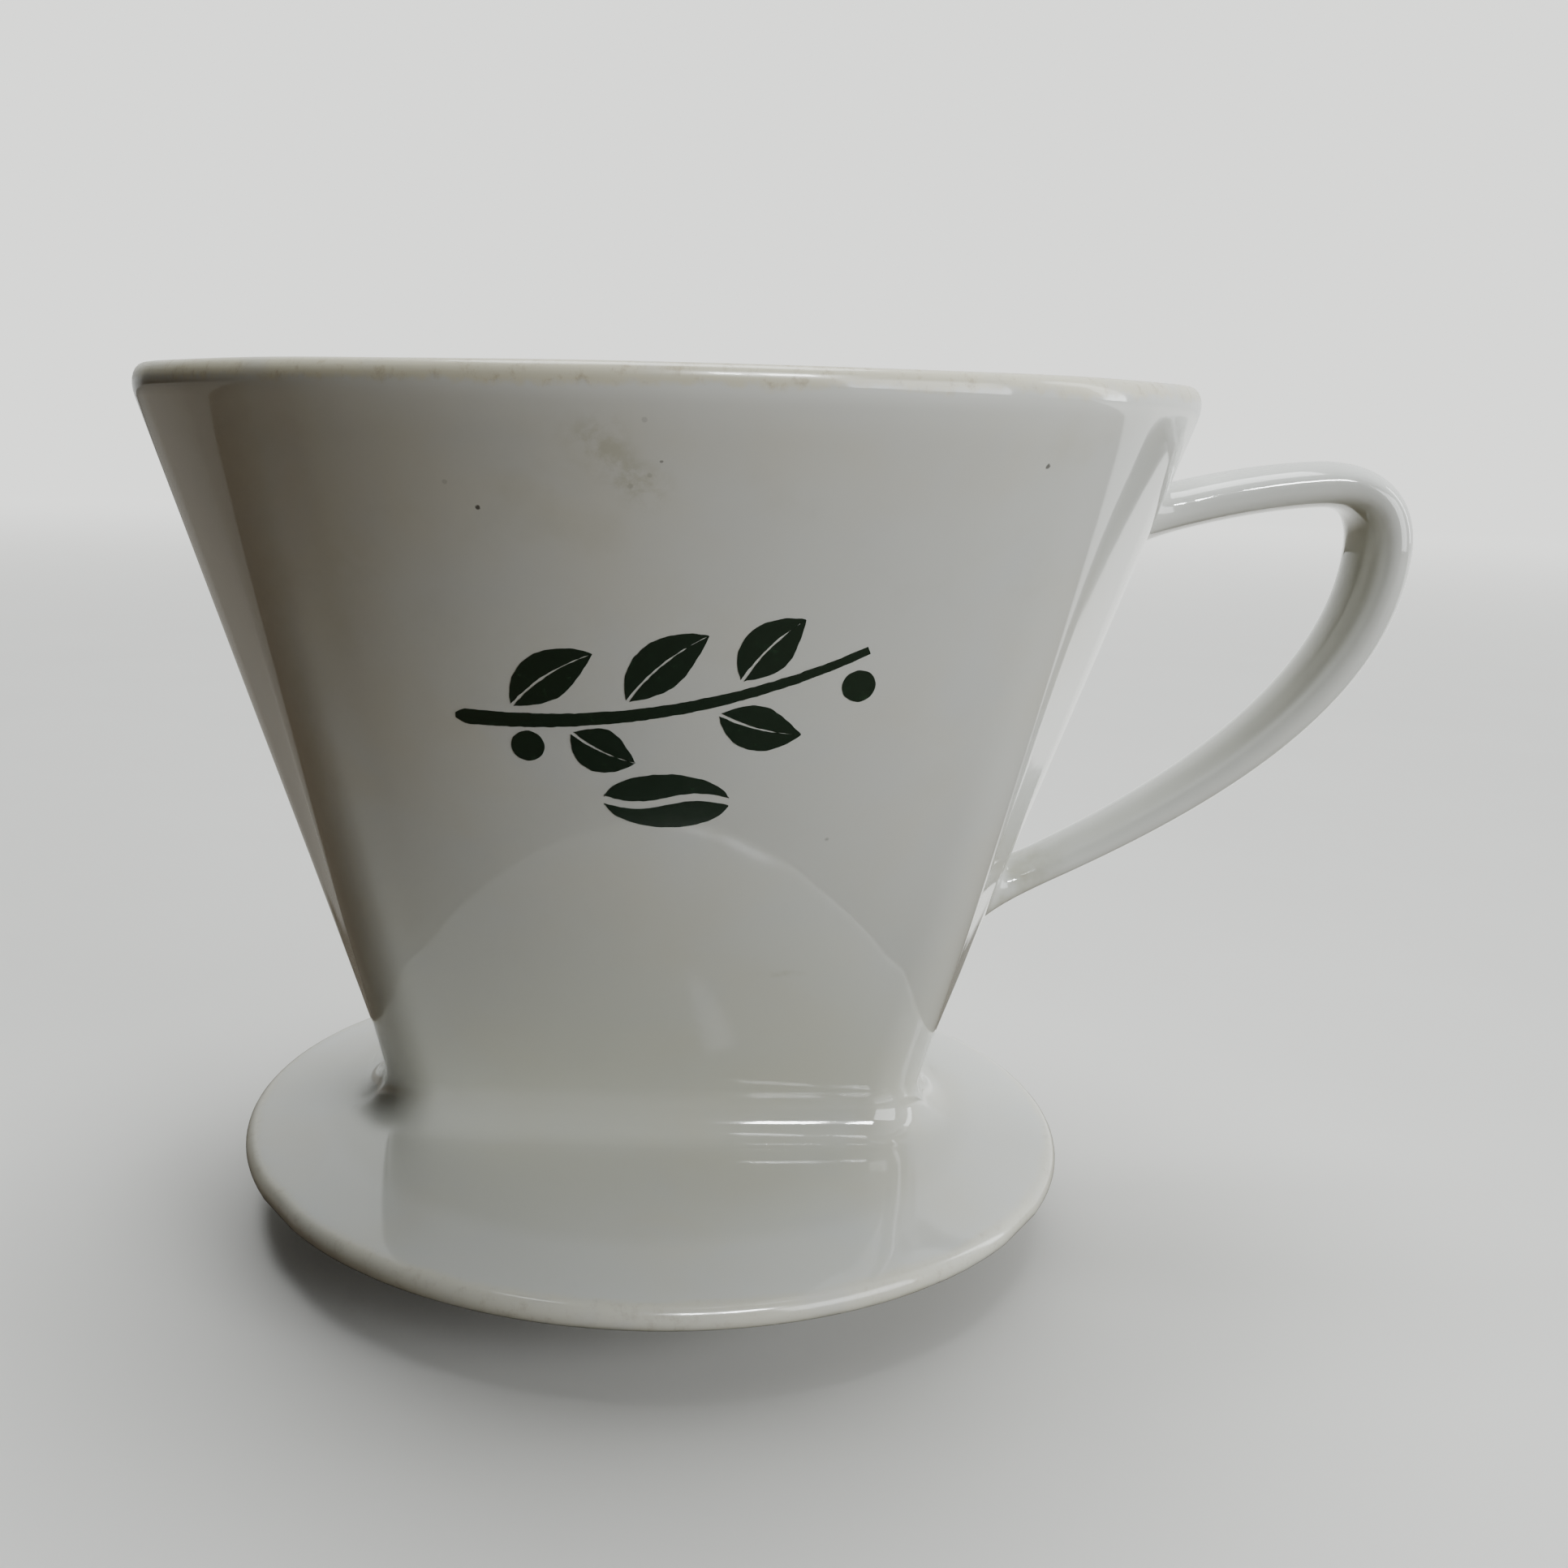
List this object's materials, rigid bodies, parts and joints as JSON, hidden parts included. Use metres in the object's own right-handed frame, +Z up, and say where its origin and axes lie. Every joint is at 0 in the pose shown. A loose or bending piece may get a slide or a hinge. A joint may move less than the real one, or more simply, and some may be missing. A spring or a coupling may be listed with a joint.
{
  "type": "pour over dripper",
  "caption": "White glazed porcelain pour-over coffee dripper: wedge-to-round filter cone on a round base flange with foot ring and an ear-shaped handle.",
  "frame": {"origin": "on the cone's vertical axis, in the plane of the flange's underside, which lies on the jug's rim", "axes": "+X towards the handle, -Y towards the printed front, +Z up"},
  "size_m": [0.1518, 0.1228, 0.1035],
  "materials": {
    "white_glaze": "glossy clear glaze over white porcelain",
    "glazed_slip": "glossy clear glaze over porcelain slip",
    "green_print": "dark green ceramic print, satin"
  },
  "bodies": {
    "root": {"filter_cone": "white_glaze", "base_flange": "white_glaze", "foot_ring": "white_glaze", "base_fillet": "glazed_slip", "handle": "white_glaze", "upper_handle_joint": "glazed_slip", "lower_handle_joint": "glazed_slip", "printed_stem": "green_print", "printed_leaf_1": "green_print", "printed_leaf_2": "green_print", "printed_leaf_3": "green_print", "printed_leaf_4": "green_print", "printed_leaf_5": "green_print", "printed_berry_1": "green_print", "printed_berry_2": "green_print", "printed_bean_upper": "green_print", "printed_bean_lower": "green_print"}
  },
  "joints": []
}
